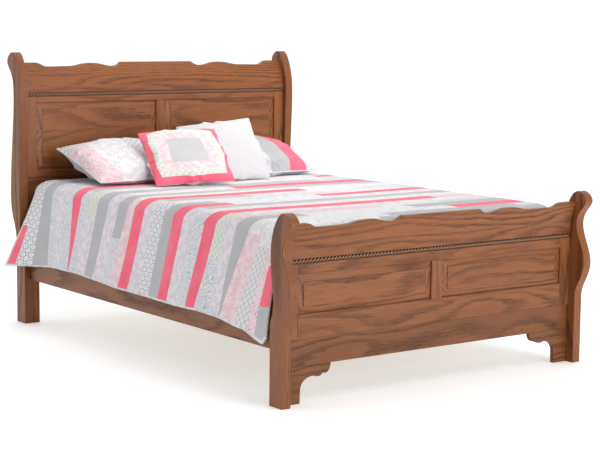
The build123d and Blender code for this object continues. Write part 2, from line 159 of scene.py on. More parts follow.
def wood(name, along, across, depth, palette, plank=0.21, ring=0.0056, gloss=0.36):
    """Flat-sawn boards. `along`, `across` and `depth` name the axes of the grain, the face's width and
    its depth; `plank` is a board's width and `ring` the width of a year's growth."""
    n = Nodes(name)
    where = n.split(n.coordinates("Object"))
    luck = n.add("ShaderNodeObjectInfo").outputs["Random"]
    a, b, c = where[along], where[across], where[depth]
    planks = n.math("DIVIDE", n.math("ADD", b, n.math("MULTIPLY", luck, 3.0)), plank)
    plank_luck = n.add("ShaderNodeTexWhiteNoise", {"W": n.math("FLOOR", planks)},
                       noise_dimensions="1D").outputs[0]
    a = n.math("MULTIPLY_ADD", n.math("ADD", plank_luck, luck), 7.0, a)
    off_centre = n.spread(plank_luck, 0.0, 1.0, 0.25, 0.75)
    from_middle = n.math("MULTIPLY", n.math("SUBTRACT", n.math("FRACT", planks), off_centre), plank)
    place = n.combine(a, from_middle, c)
    drift = n.math("SUBTRACT", n.noise(place, DRIFT_WAVES, 2.0, 0.35), 0.5)
    ragged = n.math("SUBTRACT", n.noise(place, RAGGED_WAVES, 3.0), 0.5)
    pith = n.math("ADD", c, n.spread(plank_luck, 0.0, 1.0, *PITH_DEPTH))
    radius = n.length(n.combine(from_middle, pith))
    radius = n.math("MULTIPLY_ADD", drift, RING_DRIFT, radius)
    radius = n.math("MULTIPLY_ADD", ragged, RING_RAGGED, radius)
    phase = n.math("FRACT", n.math("DIVIDE", radius, ring))
    early = n.math("MULTIPLY", n.spread(phase, 0.0, 0.12), n.spread(phase, 0.62, 0.22))
    fibre = n.noise(place, FIBRE_WAVES, 4.0, 0.7)
    dashes = n.spread(n.noise(place, PORE_WAVES, 2.0), 0.45, 0.58)
    pores = n.math("MULTIPLY", dashes, n.math("MULTIPLY_ADD", early, 0.72, 0.14))
    bold = n.spread(n.noise(place, BOLD_WAVES, 2.0), 0.35, 0.62, 0.45, 0.85)
    # The colours are the wood's stain, except for the strip and the lower board, where they hold painted
    # shade.
    pore_tint, early_tint, late_tint = palette
    colour = n.mix(n.math("MULTIPLY", early, n.math("MULTIPLY", bold, 0.95)), late_tint, early_tint)
    colour = n.mix(n.spread(fibre, 0.38, 0.68, 0.0, 0.50), colour, early_tint)
    colour = n.mix(n.math("MULTIPLY", pores, bold), colour, pore_tint)
    tone = n.noise(place, TONE_WAVES, 2.0)
    tone = n.math("MULTIPLY_ADD", plank_luck, 0.30, tone)
    colour = n.mix(n.spread(tone, 0.45, 0.95, 0.0, 0.30), colour, early_tint)
    n.set(Base_Color=colour, Roughness=n.spread(pores, 0.0, 1.0, gloss, gloss + 0.2))
    n.set(Coat_Weight=0.05, Coat_Roughness=0.22, Specular_IOR_Level=0.27)
    n.bump(n.math("SUBTRACT", 1.0, pores), 0.0005, 0.4)
    n.bump(n.noise(place, PLANED_WAVES, 2.0), 0.0010, 0.07)
    return n.material


def steel(name, tint, rough):
    """Steel with faint scratches and dull patches."""
    n = Nodes(name)
    where = n.coordinates("Object")
    patches = n.noise(where, 90.0, 3.0)
    scratches = n.noise(where, (40.0, 1400.0, 300.0), 2.0)
    dull = [0.72 * v for v in tint]
    n.set(Metallic=1.0, Base_Color=n.mix(n.spread(patches, 0.35, 0.7), tint, dull))
    n.set(Roughness=n.spread(patches, 0.3, 0.7, rough, rough + 0.2))
    n.bump(scratches, 0.0002, 0.3)
    return n.material


# --- cloth --------------------------------------------
WHITE = (0.80, 0.785, 0.80)
CORAL = (0.86, 0.125, 0.200)
GREY = (0.43, 0.43, 0.445)
LAVENDER = (0.75, 0.70, 0.745)
PINK = (0.80, 0.645, 0.675)
INK = (0.20, 0.22, 0.26)
SOFT_INK = (0.30, 0.32, 0.38)
LEAF_INK = (0.30, 0.33, 0.40)
ROSE_INK = (0.52, 0.20, 0.29)
GREEN = (0.34, 0.40, 0.30)
WORN = (0.80, 0.79, 0.80)
RING_PITCH = 0.040  # from ring to ring of the ring print
THREAD_PITCH = 0.0022
PUCKER_PITCH = 0.0145  # from ripple to ripple of the quilting's puckers


def cells(n, where, size, turn=False, shift=0.0):
    """The place inside square cells, from -0.5 to 0.5 each way; `turn` turns them by 45 degrees."""
    if turn:
        x, y, _ = n.split(where)
        where = n.combine(n.math("ADD", x, y), n.math("SUBTRACT", x, y))
    steps = n.vector("ADD", n.vector("MULTIPLY", where, (1 / size,) * 3), (shift, shift, 0))
    x, y, _ = n.split(n.vector("FRACTION", steps))
    return n.math("SUBTRACT", x, 0.5), n.math("SUBTRACT", y, 0.5)


def ring_mask(n, x, y, radius, width):
    """1 on a ring round the cell's centre and 0 off it; a radius of 0 gives a dot."""
    away = n.math("SUBTRACT", n.length(n.combine(x, y)), radius)
    return n.spread(n.math("ABSOLUTE", away), width, width * 0.6)


def line_mask(n, x, width):
    """1 on the line where x is 0, and 0 off it."""
    return n.spread(n.math("ABSOLUTE", x), width, width * 0.6)


def print_plain(n, where, base):
    """No print, only the slightly lighter streaks of thicker threads."""
    streaks = n.noise(where, (25.0, 260.0, 25.0), 2.0)
    lighter = [min(1, v * 1.18 + 0.015) for v in base]
    return n.mix(n.spread(streaks, 0.3, 0.75, 0.0, 0.22), base, lighter)


def print_rings(n, where, base):
    """Two overlapping grids of rings with a dot in the middle of each."""
    colour = base
    for shift, ink in ((0.0, INK), (0.5, SOFT_INK)):
        x, y = cells(n, where, RING_PITCH, shift=shift)
        colour = n.mix(n.math("MULTIPLY", ring_mask(n, x, y, 0.34, 0.085), 0.56), colour, ink)
        colour = n.mix(n.math("MULTIPLY", ring_mask(n, x, y, 0.0, 0.13), 0.45), colour, ink)
    return colour


def print_lattice(n, where, base, size=0.030, ink=INK):
    """Diagonal lattice with a small ring in each diamond."""
    x, y = cells(n, where, size, turn=True)
    to_edges = (n.math("SUBTRACT", n.math("ABSOLUTE", v), 0.5) for v in (x, y))
    lines = n.math("MAXIMUM", *(line_mask(n, v, 0.13) for v in to_edges))
    colour = n.mix(n.math("MULTIPLY", lines, 0.62), base, ink)
    return n.mix(n.math("MULTIPLY", ring_mask(n, x, y, 0.20, 0.08), 0.40), colour, ink)


def print_damask(n, where, base, ink=LEAF_INK):
    """Scrolling leaves: bands of a warped noise, with speckles between them."""
    warp = n.noise(where, 38.0, 1.0)
    swirl = n.math("MULTIPLY_ADD", warp, 7.0, n.math("MULTIPLY", n.noise(where, 17.0, 2.0), 9.0))
    leaf = n.spread(n.math("ABSOLUTE", n.math("SUBTRACT", n.math("FRACT", swirl), 0.5)), 0.20, 0.11)
    speckle = n.spread(n.noise(where, 210.0, 1.0), 0.54, 0.60)
    marks = n.math("MAXIMUM", leaf, n.math("MULTIPLY", speckle, 0.5))
    return n.mix(n.math("MULTIPLY", marks, 0.78), base, ink)


def print_dots(n, where, base, ink=ROSE_INK, size=0.016):
    """Small dots that gather into loose flowers."""
    x, y = cells(n, where, size, turn=True)
    flowers = n.spread(n.noise(where, 30.0, 2.0), 0.44, 0.56, 0.12, 0.80)
    return n.mix(n.math("MULTIPLY", ring_mask(n, x, y, 0.0, 0.42), flowers), base, ink)


def cloth(name, print_on, base, crease=1.0, **details):
    """Cotton with a print: threads, small puckers and a little fuzz. The UVs are metres of cloth."""
    n = Nodes(name)
    where = n.coordinates("UV")
    colour = print_on(n, where, base, **details)
    worn = n.noise(where, 9.0, 3.0)
    n.set(Base_Color=n.mix(n.spread(worn, 0.3, 0.8, 0.0, 0.10), colour, WORN))
    n.set(Roughness=0.88, Sheen_Weight=0.12, Sheen_Roughness=0.45, Specular_IOR_Level=0.22)
    x, y, _ = n.split(n.vector("MULTIPLY", where, (TAU / THREAD_PITCH,) * 3))
    threads = n.math("MULTIPLY", n.math("SINE", x), n.math("SINE", y))
    n.bump(threads, 0.00012, 0.5)
    along, _, _ = n.split(where)
    wander = n.math("MULTIPLY", n.noise(where, 17.0, 3.0), 9.0)
    ripple = n.math("SINE", n.math("MULTIPLY_ADD", along, TAU / PUCKER_PITCH, wander))
    n.bump(ripple, 0.0003 * crease, 0.5)
    n.bump(n.noise(where, (150.0, 45.0, 60.0), 3.0), 0.0030 * crease, 0.6)
    return n.material


# The order of the fabrics is the order of the material slots on the quilt and the pillows.
FABRICS = {
    "coral": cloth("coral_cotton", print_plain, CORAL),
    "grey": cloth("grey_cotton", print_plain, GREY),
    "pale": cloth("pale_lavender_cotton", print_dots, LAVENDER, ink=(0.30, 0.27, 0.36), size=0.015),
    "white": cloth("white_print_cotton", print_dots, WHITE, ink=(0.36, 0.37, 0.43), size=0.016),
    "rings": cloth("ring_print_cotton", print_rings, WHITE),
    "lattice": cloth("lattice_print_cotton", print_lattice, WHITE),
    "silver": cloth("silver_cotton", print_plain, (0.48, 0.475, 0.485), crease=0.3),
    "green": cloth("green_lattice_cotton", print_lattice, (0.76, 0.77, 0.73), size=0.032, ink=GREEN),
    "damask": cloth("damask_cotton", print_damask, (0.74, 0.74, 0.77)),
    "pink": cloth("pink_dot_cotton", print_dots, PINK),
    "lining": cloth("lining_cotton", print_damask, (0.42, 0.43, 0.46)),
    "binding": cloth("binding_cotton", print_dots, (0.70, 0.70, 0.72), ink=INK, size=0.009),
    "plain": cloth("plain_white_cotton", print_plain, (0.58, 0.58, 0.60), crease=0.5),
}
FABRIC_ORDER = list(FABRICS)


def ticking(name, base):
    """Knitted mattress cover with woven swirls, by place because its mesh has no UVs."""
    n = Nodes(name)
    where = n.coordinates("Object")
    swirl = n.spread(n.noise(where, 26.0, 2.0), 0.46, 0.54)
    n.set(Base_Color=n.mix(n.math("MULTIPLY", swirl, 0.35), base, [v * 0.86 for v in base]))
    n.set(Roughness=0.85, Sheen_Weight=0.2, Sheen_Roughness=0.4)
    n.bump(swirl, 0.0008, 0.5)
    n.bump(n.noise(where, 700.0, 1.0), 0.0003, 0.5)
    return n.material


# --- mesh helpers -------------------------------------
def new_piece(name, points, faces, materials):
    """A smooth-shaded mesh object."""
    mesh = bpy.data.meshes.new(name)
    mesh.from_pydata([tuple(float(v) for v in p) for p in points], [], faces)
    for material in materials:
        mesh.materials.append(material)
    mesh.polygons.foreach_set("use_smooth", [True] * len(mesh.polygons))
    piece = bpy.data.objects.new(name, mesh)
    bpy.context.scene.collection.objects.link(piece)
    return piece


def face_outwards(piece):
    shell = bmesh.new()
    shell.from_mesh(piece.data)
    bmesh.ops.recalc_face_normals(shell, faces=shell.faces)
    shell.to_mesh(piece.data)
    shell.free()
    return piece


def sharpen(piece, degrees):
    """Edges sharper than this angle stay crisp, the rest are shaded smooth."""
    piece.data.set_sharp_from_angle(angle=math.radians(degrees))
    return piece


def skin_rings(name, rings, material, looped=False):
    """Skins closed rings of points one after another, with a cap on each end, or round into a loop."""
    count = len(rings[0])
    faces = []
    for r in range(len(rings) if looped else len(rings) - 1):
        low, high = r * count, (r + 1) % len(rings) * count
        for i in range(count):
            j = (i + 1) % count
            faces.append((low + i, low + j, high + j, high + i))
    if not looped:
        faces.append(tuple(range(count)))
        faces.append(tuple(range((len(rings) - 1) * count, len(rings) * count)))
    piece = new_piece(name, np.concatenate(rings), faces, [material])
    return face_outwards(piece)


def seam_cord(name, loop, radius, material, sides=8):
    """A thin round cord along a closed loop of points."""
    loop = np.array(loop, float)
    rings = []
    for i, here in enumerate(loop):
        way = Vector(loop[(i + 1) % len(loop)] - loop[i - 1]).normalized()
        side = way.orthogonal() if i == 0 else (side - way * side.dot(way)).normalized()
        side = side.normalized()
        up = way.cross(side)
        rings.append([here + np.array(side) * radius * math.cos(t) + np.array(up) * radius * math.sin(t)
                      for t in np.linspace(0, TAU, sides, endpoint=False)])
    return skin_rings(name, rings, material, looped=True)


def bezier(points, steps=40):
    """Points along a cubic curve with four control points."""
    t = np.linspace(0, 1, steps)[:, None]
    a, b, c, d = (np.array(p, float) for p in points)
    return (1 - t) ** 3 * a + 3 * (1 - t) ** 2 * t * b + 3 * (1 - t) * t ** 2 * c + t ** 3 * d


# --- bed frame ----------------------------------------
OAK_ALONG_X = wood("oak_along_x", "X", "Z", "Y", OAK)
OAK_ALONG_Y = wood("oak_along_y", "Y", "Z", "X", OAK)
OAK_ALONG_Z = wood("oak_along_z", "Z", "X", "Y", OAK, plank=0.30)
OAK_POST = wood("oak_post", "Z", "Y", "X", OAK, plank=0.34, ring=0.009)
# The lower board and the brackets are darkened with painted shade.
OAK_BOARD_SHADED = wood("oak_lower_board_painted_shade", "X", "Z", "Y", OAK_UNDER_RAIL_SHADE, plank=0.30)
# The rope strip's wood is darkened with painted shade.
OAK_SHADED_STRIP = wood("oak_strip_painted_shade", "X", "Z", "Y", OAK_PAINTED_SHADE)
PINE_ALONG_X = wood("pine_along_x", "X", "Y", "Z", PINE, gloss=0.6)
PINE_ALONG_Y = wood("pine_along_y", "Y", "Z", "X", PINE, gloss=0.6)
PINE_ALONG_Z = wood("pine_along_z", "Z", "X", "Y", PINE, gloss=0.6)
ZINC = steel("zinc_plate", (0.56, 0.57, 0.60), 0.34)
DARK_BOLT = steel("bolt_steel", (0.30, 0.30, 0.32), 0.38)

# The first of these words in a node's name gives its finish; the other nodes are OAK_ALONG_X.
CAD_FINISHES = {
    "screws": DARK_BOLT, "bolts": DARK_BOLT, "post": OAK_POST, "stile": OAK_ALONG_Z,
    "leg_block": OAK_ALONG_Z, "lower_board": OAK_BOARD_SHADED, "foot_bracket": OAK_BOARD_SHADED,
    "side_rail": OAK_ALONG_Y, "rail_bracket": ZINC, "ledger": PINE_ALONG_Y, "slat": PINE_ALONG_X,
    "support_leg": PINE_ALONG_Z,
}


def dress_cad_nodes():
    for name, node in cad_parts.items():
        finish = next((m for word, m in CAD_FINISHES.items() if word in name), OAK_ALONG_X)
        node.data.materials.clear()
        node.data.materials.append(finish)


CREST_THICK = 0.030
CREST_ROUND = 0.0035  # how far the crest's upper edges are rounded over
CREST_SLICES = 393
FOOT_LEAN, HEAD_LEAN = -0.033, 0.045  # how far behind its lower edge each crest's top lies


def scallop_drop(x):
    """How far the crest's top edge lies below its highest line, at a distance from the centre."""
    notch = bezier([(0.213, 0), (0.228, 0.013), (0.243, 0.020), (0.262, 0.020)])
    turns = [(0.262, 0.020), (0.386, 0.004), (0.530, 0.019), (0.640, 0.020), (0.712, 0)]
    waves = [bezier([(x0, d0), ((x0 + x1) / 2, d0), ((x0 + x1) / 2, d1), (x1, d1)])
             for (x0, d0), (x1, d1) in zip(turns[:-1], turns[1:])]
    line = np.concatenate([[(0, 0)], notch, *waves, [(1, 0)]])
    return np.interp(abs(x), line[:, 0], line[:, 1])


def crest_rail(end, face, lean):
    """The scalloped crest, with its profile and top edge as in the CAD and its edges rounded over."""
    low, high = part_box(f"{end}_crest_rail")
    rise = high.z - low.z
    curve = bezier([(face, low.z), (face, low.z + 0.4 * rise), (face + 0.55 * lean, low.z + 0.75 * rise),
                    (face + lean, high.z)], 80)
    rings = []
    for x in np.linspace(low.x, high.x, CREST_SLICES):
        top = high.z - scallop_drop(x)
        climb = np.linspace(low.z, top - CREST_ROUND, 26)
        front = np.interp(climb, curve[:, 1], curve[:, 0])
        brow = np.interp(top, curve[:, 1], curve[:, 0])
        over = [(brow + CREST_ROUND * (1 - math.cos(t)), top - CREST_ROUND * (1 - math.sin(t)))
                for t in np.linspace(0.3, math.pi / 2, 5)]
        back_over = [(2 * brow + CREST_THICK - y, z) for y, z in reversed(over)]
        ring = [*zip(front, climb), *over, *back_over, *zip(front[::-1] + CREST_THICK, climb[::-1])]
        rings.append([(x, y, z) for y, z in ring])
    crest = sharpen(skin_rings(f"{end}_crest", rings, OAK_ALONG_X), 50)
    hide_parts(f"{end}_crest_rail")
    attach(crest, "frame")


# Painted light on the rope bead: the lighter strand colour is a painted highlight and the groove colour
# is painted shade.
ROPE_PAINTED_HIGHLIGHT = (0.40, 0.17, 0.062)
ROPE_GROOVE_PAINTED_SHADE = (0.018, 0.007, 0.004)
BEAD_RADIUS = 0.0096
BEAD_SET_BACK = 0.0086  # from the frame's face to the middle of the bead
GROOVE_DEPTH = 0.0046  # between two strands
ROPE_TWIST = 0.054  # length of one full turn of a strand
STRANDS = 3
STRIP_EDGE = 0.0065  # the strip's lips lie this far behind the face
STRIP_BED = 0.009  # and its middle this far
LIP = (0.0022, 0.0030)  # the lip's flat, and where its slope meets the middle


def rope_material():
    """Rope bead: a painted highlight, a lighter oak colour on the strands, and painted shade, a
    near-black colour in the grooves between them.
    """
    n = Nodes("oak_rope_painted_light")
    where = n.coordinates("Object")
    depth = n.add("ShaderNodeAttribute", attribute_name="groove").outputs["Fac"]
    fibre = n.noise(where, (60.0, 500.0, 500.0), 2.0)
    light = n.mix(fibre, OAK[2], ROPE_PAINTED_HIGHLIGHT)
    # Painted shade: the colour turns near-black where the groove attribute marks the hollows between the
    # strands.
    n.set(Base_Color=n.mix(n.spread(depth, 0.08, 0.22), light, ROPE_GROOVE_PAINTED_SHADE), Roughness=0.45)
    n.set(Coat_Weight=0.15, Coat_Roughness=0.3)
    n.bump(fibre, 0.0003, 0.3)
    return n.material


def rope_moulding(end, material):
    """A recessed strip with a twisted three-strand bead that runs from post to post."""
    low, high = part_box(f"{end}_rope_moulding")
    face = HEAD_FACE if end == "head" else FOOT_FACE
    middle = (low.z + high.z) / 2
    bead_y = face + BEAD_SET_BACK
    lip_y, bed_y = face + STRIP_EDGE, face + STRIP_BED
    flat, slope = LIP
    strip_ring = [(lip_y, low.z), (lip_y, low.z + flat), (bed_y, low.z + slope),
                  (bed_y, high.z - slope), (lip_y, high.z - flat), (lip_y, high.z),
                  (high.y, high.z), (high.y, low.z)]
    strip_rings = [[(x, y, z) for y, z in strip_ring] for x in np.linspace(low.x, high.x, 9)]
    strip = sharpen(skin_rings(f"{end}_rope_strip", strip_rings, OAK_SHADED_STRIP), 30)
    rings, grooves = [], []
    around = np.linspace(0, TAU, 30, endpoint=False)
    for x in np.arange(low.x + 0.0005, high.x, 0.0024):
        swell = np.abs(np.cos(STRANDS / 2 * (around - TAU * x / ROPE_TWIST)))
        radius = BEAD_RADIUS - GROOVE_DEPTH * (1 - swell ** 0.75)
        rings.append([(x, bead_y - r * math.cos(t), middle + r * math.sin(t))
                      for r, t in zip(radius, around)])
        grooves.append(1 - swell)
    bead = skin_rings(f"{end}_rope_bead", rings, material)
    depth = bead.data.attributes.new("groove", "FLOAT", "POINT")
    depth.data.foreach_set("value", np.concatenate(grooves).astype(np.float32))
    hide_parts(f"{end}_rope_moulding")
    for piece in (strip, bead):
        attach(piece, "frame")


# --- box spring and mattress --------------------------
PAD_CORNER = 0.07  # radius of a pad's corners seen from above
PAD_CELL = 0.03  # length of a face along a pad's sides
PAD_STEP, PAD_STEPS = 0.018, 37  # from ring to ring of the top, and how many rings
TUFT_PITCH = 0.11  # from dip to dip of the quilted faces
TAPE_RADIUS = 0.0042
TAPE_INSET = 0.0015


def rounded_rectangle(low, high, inset, steps=9):
    """Points round a rectangle with rounded corners, moved inwards by `inset`."""
    radius = PAD_CORNER - inset
    points = []
    left, right = low.x + inset + radius, high.x - inset - radius
    front, back = low.y + inset + radius, high.y - inset - radius
    middles = ((right, back), (left, back), (left, front), (right, front))
    for quarter, (x, y) in enumerate(middles):
        for t in np.linspace(0, math.pi / 2, steps):
            turn = t + quarter * math.pi / 2
            points.append((x + radius * math.cos(turn), y + radius * math.sin(turn)))
    dense = []
    for i, here in enumerate(points):
        there = points[(i + 1) % len(points)]
        parts = max(1, round(math.dist(here, there) / PAD_CELL))
        way = np.array(there) - np.array(here)
        dense += [tuple(np.array(here) + way * k / parts) for k in range(parts)]
    return np.array(dense)


def soft_block(name, node, rim, tuft, material, cord_material):
    """A pad with rounded rims (`rim` is how far in and how far down they go), faces quilted to the
    depth `tuft`, and a tape cord round both rims."""
    low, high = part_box(node)
    inwards, down = rim
    turns = np.linspace(math.pi / 2, 0, 8)
    curve = [(inwards * (1 - math.sin(t)), down * (1 - math.cos(t))) for t in turns]
    walls = [(inset, low.z + up) for inset, up in reversed(curve)]
    walls += [(0, z) for z in np.linspace(low.z + down, high.z - down, 7)[1:-1]]
    walls += [(inset, high.z - up) for inset, up in curve]
    base = rounded_rectangle(low, high, 0)
    middle = base.mean(0)
    reach = np.abs(base - middle).max(0)

    def ring(inset, z, inside=0):
        """One ring of the pad; `inside` is 1 on the underside, -1 on the top and 0 on the walls."""
        flat = middle + (base - middle) * (1 - inset / reach)
        bumps = (np.sin(flat * math.pi / TUFT_PITCH) ** 2).prod(1)
        dip = inside * tuft * (1 - bumps ** 0.4)
        return [(x, y, z + d) for (x, y), d in zip(flat, dip)]

    steps = [inwards + k * PAD_STEP for k in range(1, PAD_STEPS + 1)]
    rings = [ring(inset, low.z, 1) for inset in reversed(steps)]
    rings += [ring(inset, z) for inset, z in walls]
    rings += [ring(inset, high.z, -1) for inset in steps]
    block = skin_rings(name, rings, material)
    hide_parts(node)
    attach(block, node)
    for part, z in (("low", low.z + down), ("top", high.z - down)):
        outline = [(x, y, z) for x, y in rounded_rectangle(low, high, TAPE_INSET)]
        cord = seam_cord(f"{name}_{part}_tape", outline, TAPE_RADIUS, cord_material)
        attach(cord, node)


# --- quilt --------------------------------------------
THICK = 0.008
HEM_Z = 0.300
SHOULDER_X = 0.7695  # middle of the cloth below its turn over the mattress's edge
HEM_X = 0.8235  # middle of the cloth at the hem
TOP_Z = QUILT_HIGH.z - 0.0065  # middle of the cloth on the flat top
TURN, TURN_DOWN = 0.090, 0.058  # how far in and how far down the turn goes
TURN_LENGTH = 0.118  # along the turn
SHOULDER_Z = TOP_Z - TURN_DOWN
DROP = math.hypot(HEM_X - SHOULDER_X, SHOULDER_Z - HEM_Z)
HALF = DROP + TURN_LENGTH + SHOULDER_X - TURN  # from a hem to the middle of the bed
STEP_U = 0.0095  # from column to column of the mesh
BINDING = 0.009  # width of the bound edge
FOOT_FLAP = 0.175  # hangs down inside the footboard, below the turn
FOOT_ROWS = 14  # rows of the mesh in the flap
FOOT_TURN = 0.075  # the cloth starts to turn down this far from the foot edge
FOOT_DIP = 0.048  # and is this much lower at the edge
FOOT_GAP = 0.0065  # from the CAD quilt's edge to the middle of the cloth
SWING = 0.094  # how far the rear corners flare out
SWING_START, SWING_LENGTH = 1.86, 0.33  # where the flare starts, from the foot edge
REAR_START, REAR_LENGTH = 1.6, 0.5  # where the right hem starts to shift to the rear
PUFF = 0.0016  # how far the filling stands up between the stitches
PUFF_PITCH = 0.0475  # from stitch line to stitch line
FLAP_SHARE = 0.48  # the flap starts this far up the turn

# Strips across the bed, from the foot to the head: width at the mattress's edge, width at the left hem,
# then each fabric with the share of the strip where it ends, from the left hem to the right hem.
STRIPS = [
    (0.027, 0.087, [("grey", 0.045), ("coral", 0.11), ("white", 0.40), ("silver", 0.9), ("damask", 1)]),
    (0.028, 0.054, [("pink", 0.16), ("white", 0.40), ("silver", 0.9), ("damask", 1)]),
    (0.071, 0.092, [("lattice", 0.14), ("white", 0.43), ("grey", 0.75), ("pale", 1)]),
    (0.095, 0.119, [("pink", 0.16), ("white", 0.62), ("coral", 0.90), ("rings", 1)]),
    (0.092, 0.004, [("grey", 0.30), ("white", 0.55), ("grey", 0.84), ("lattice", 1)]),
    (0.071, 0.058, [("pale", 0.18), ("pink", 0.50), ("white", 0.66), ("damask", 0.85), ("pink", 1)]),
    (0.076, 0.110, [("damask", 0.10), ("green", 0.22), ("white", 0.78), ("rings", 1)]),
    (0.088, 0.073, [("coral", 0.70), ("pink", 0.82), ("lattice", 1)]),
    (0.085, 0.081, [("damask", 0.19), ("white", 0.80), ("damask", 1)]),
    (0.081, 0.083, [("pale", 0.20), ("silver", 0.76), ("grey", 0.90), ("pale", 1)]),
    (0.082, 0.076, [("coral", 0.285), ("white", 0.80), ("pink", 1)]),
    (0.077, 0.083, [("grey", 0.27), ("white", 0.52), ("coral", 0.88), ("grey", 1)]),
    (0.085, 0.087, [("rings", 0.20), ("white", 0.35), ("pale", 0.60), ("white", 0.75), ("damask", 1)]),
    (0.080, 0.084, [("pale", 0.20), ("silver", 0.40), ("white", 0.70), ("pale", 1)]),
    (0.088, 0.076, [("coral", 0.56), ("white", 0.80), ("coral", 1)]),
    (0.058, 0.095, [("pink", 0.19), ("white", 0.72), ("lattice", 1)]),
    (0.083, 0.060, [("damask", 0.10), ("grey", 0.22), ("silver", 0.70), ("grey", 1)]),
    (0.093, 0.095, [("pale", 0.21), ("white", 0.45), ("coral", 0.86), ("rings", 1)]),
    (0.095, 0.080, [("grey", 0.26), ("silver", 0.70), ("damask", 1)]),
    (0.087, 0.086, [("pale", 0.13), ("green", 0.21), ("white", 0.75), ("pale", 1)]),
    (0.073, 0.066, [("damask", 0.19), ("silver", 0.55), ("white", 0.75), ("coral", 1)]),
    (0.082, 0.005, [("coral", 0.40), ("white", 0.80), ("pink", 1)]),
    (0.085, 0.081, [("damask", 0.24), ("white", 0.80), ("grey", 1)]),
    (0.070, 0.075, [("pale", 0.22), ("white", 0.75), ("damask", 1)]),
    (0.051, 0.050, [("damask", 0.22), ("white", 0.75), ("pale", 1)]),
    (0.087, 0.100, [("grey", 0.24), ("white", 0.80), ("grey", 1)]),
    (0.072, 0.112, [("rings", 0.22), ("white", 0.75), ("coral", 1)]),
    (0.028, 0.074, [("coral", 0.088), ("rings", 0.2), ("white", 0.75), ("coral", 1)]),
]


def quilt_rows():
    """Lines across the quilt: (Y at the edge, Y at the left hem, strip, place inside the strip).
    The flap's lines have no place at the hem."""
    rows = [(FOOT_EDGE - FOOT_FLAP * (1 - k / FOOT_ROWS), None, 0, k / FOOT_ROWS)
            for k in range(FOOT_ROWS)]
    top = hem = FOOT_EDGE
    for strip, (width, hem_width, _) in enumerate(STRIPS):
        step = 0.007 if strip < 3 else 0.016  # finer where the cloth turns over the foot edge
        parts = max(2, round(max(width, hem_width) / step))
        rows += [(top + width * k / parts, hem + hem_width * k / parts, strip, k / parts)
                 for k in range(parts)]
        top += width
        hem += hem_width
    rows.append((top, hem, len(STRIPS) - 1, 1.0))
    return rows


def hem_drop(y):
    """Extra length of the left side drop below (or above) the even hem."""
    places = [0.00, 0.03, 0.09, 0.16, 0.25, 0.36, 0.50, 0.70, 1.00, 1.30, 1.60, 1.80, 2.00, 2.12, 2.20]
    drops = [0.030, 0.060, 0.045, 0.022, 0.018, 0.004, -0.006, 0.002,
             -0.002, -0.010, -0.022, -0.018, -0.006, 0.004, 0.010]
    return np.interp(y - FOOT_EDGE, places, drops)


def quilt_point(u, row):
    """Middle of the cloth at arc length `u` from the left hem, with the direction that faces out."""
    top_y, hem_y, _, _ = row
    along = top_y - FOOT_EDGE
    side = -1 if u < HALF else 1
    from_hem = u if u < HALF else 2 * HALF - u
    if from_hem > DROP:
        bend = min((from_hem - DROP) / TURN_LENGTH, 1) * math.pi / 2
        to_edge = max(1 - along / FOOT_TURN, 0)
        dip = FOOT_DIP * (1 - math.sqrt(1 - min(to_edge, 1) ** 2))
        x = SHOULDER_X - TURN * (1 - math.cos(bend)) - max(from_hem - DROP - TURN_LENGTH, 0)
        z = SHOULDER_Z + (TURN_DOWN - dip) * math.sin(bend)
        if hem_y is None:
            return Vector((side * x, FOOT_EDGE + FOOT_GAP, z + along)), Vector((0, -1, 0))
        z += 0.0022 * noise.noise(Vector((x * 2.3, top_y * 2.7, 4.0))) * math.sin(bend)
        out = Vector((side * math.cos(bend), -to_edge, math.sin(bend))).normalized()
        return Vector((side * x, top_y + FOOT_GAP, z)), out
    if hem_y is None:  # make_quilt leaves such a place out of the mesh
        hem_y = FOOT_EDGE
    fall = 1 - from_hem / DROP
    shift = (hem_y - top_y) * fall
    if side > 0:
        shift *= min(1, max(0, (along - REAR_START) / REAR_LENGTH))
    y = top_y + shift
    longer = hem_drop(y) if side < 0 else 0.008 * noise.noise(Vector((3.0, y * 3, 0)))
    corner = max(0.0, (y - FOOT_EDGE - SWING_START) / SWING_LENGTH)
    flare = (HEM_X - SHOULDER_X + SWING * corner ** 1.1) * fall
    wave = 0.015 * noise.noise(Vector((7.0 * side, y * 4.6, fall * 0.8))) + 0.005
    x = SHOULDER_X + flare + max(wave, -0.001) * fall ** 1.4
    z = SHOULDER_Z - (SHOULDER_Z - HEM_Z + longer * fall ** 3) * fall
    return Vector((side * x, max(y, FOOT_EDGE) + FOOT_GAP, z)), Vector((side * 0.99, 0, 0.13))


def fabric_at(strip, share):
    """Material slot of a strip at this share of the way from the left hem to the right hem."""
    return FABRIC_ORDER.index(next(name for name, until in STRIPS[strip][2] if share <= until))


